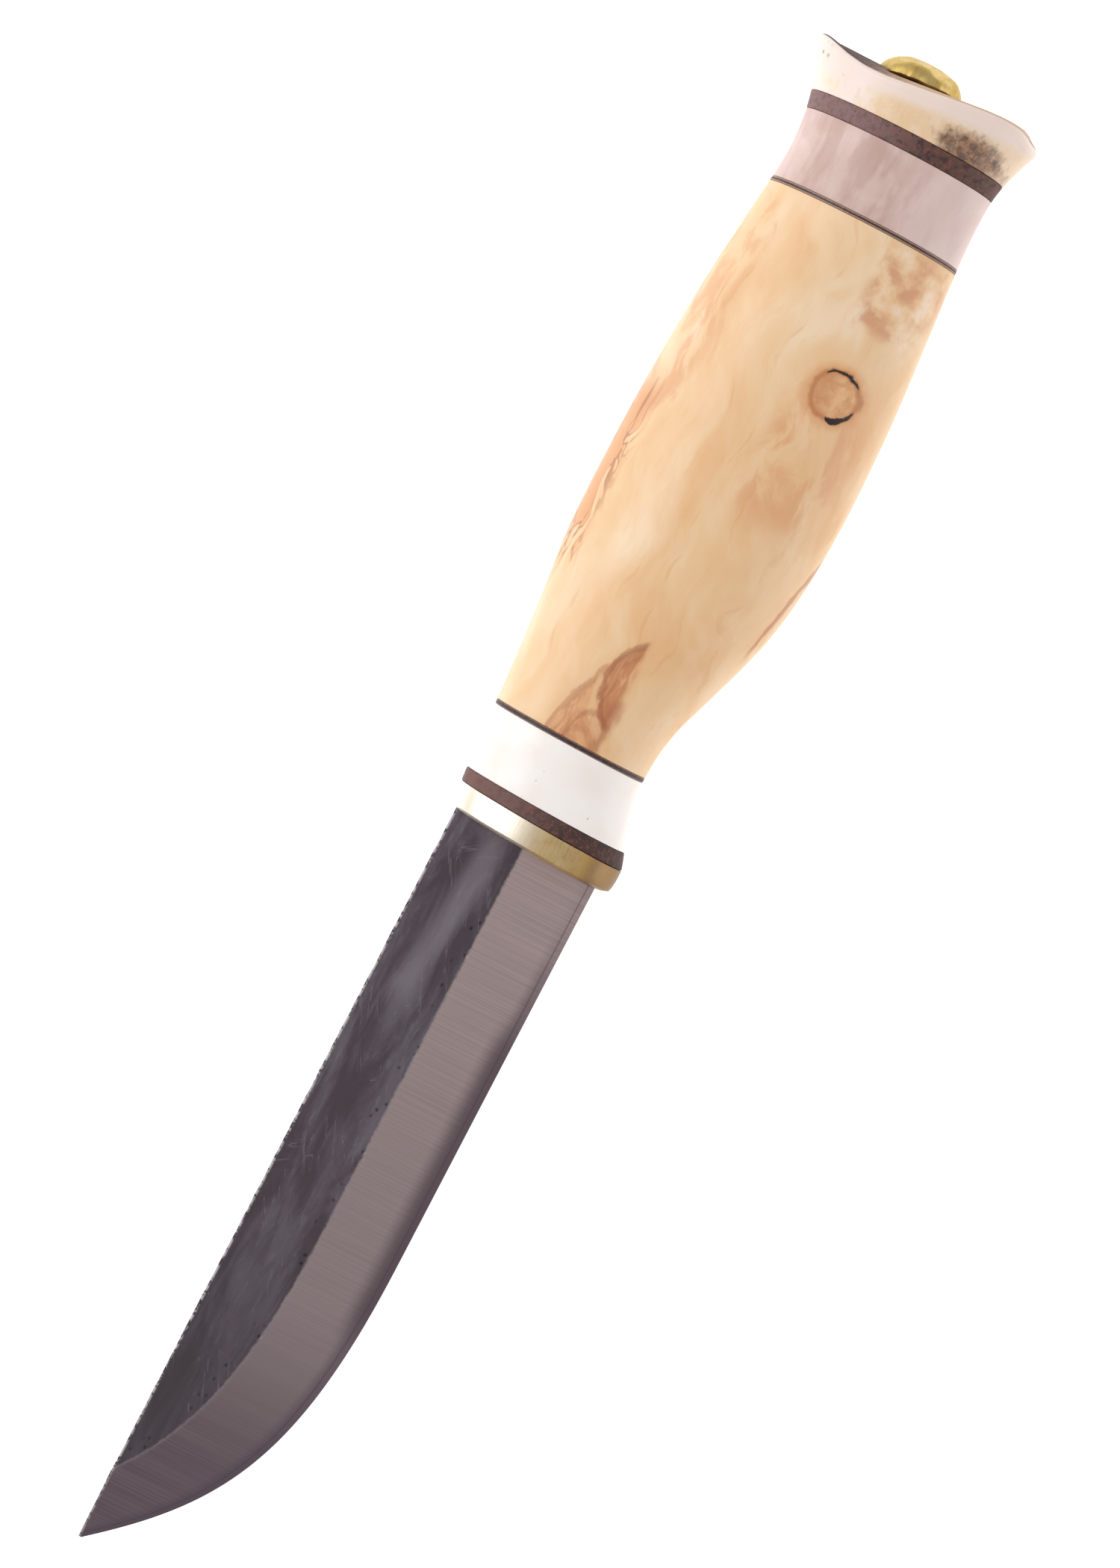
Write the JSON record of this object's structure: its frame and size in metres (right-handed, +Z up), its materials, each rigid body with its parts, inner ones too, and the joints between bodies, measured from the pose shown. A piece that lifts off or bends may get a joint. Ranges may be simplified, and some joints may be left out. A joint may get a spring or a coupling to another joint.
{
  "type": "puukko belt knife",
  "caption": "Fixed-blade Nordic belt knife: straight-backed forged blade with a wide ground bevel, and an oval stacked handle of brass, leather, bone, curly birch and antler.",
  "frame": {"origin": "under the middle of the knife's bounding box, on the surface that it lies on with its right face down", "axes": "+X along the tang from the butt to the point, +Y towards the cutting edge, +Z up out of the left face"},
  "size_m": [0.2188, 0.0318, 0.0221],
  "materials": {
    "steel": "dark forge scale on the flats, satin cross-ground bevel",
    "brass": "satin polish on the bolster, hammered nut",
    "leather": "waxed stacked leather, sanded flush",
    "bone": "polished white bone",
    "liner": "black vulcanised fibre",
    "birch": "oiled curly birch",
    "resin": "set epoxy resin",
    "antler": "polished reindeer antler"
  },
  "bodies": {
    "root": {"blade": "steel", "bolster": "brass", "front_leather_spacer": "leather", "front_bone_spacer": "bone", "front_liner": "liner", "grip": "birch", "tang_bedding": "resin", "rear_liner": "liner", "rear_antler_spacer": "antler", "rear_leather_spacer": "leather", "antler_pommel": "antler", "butt_nut": "brass"}
  },
  "joints": []
}
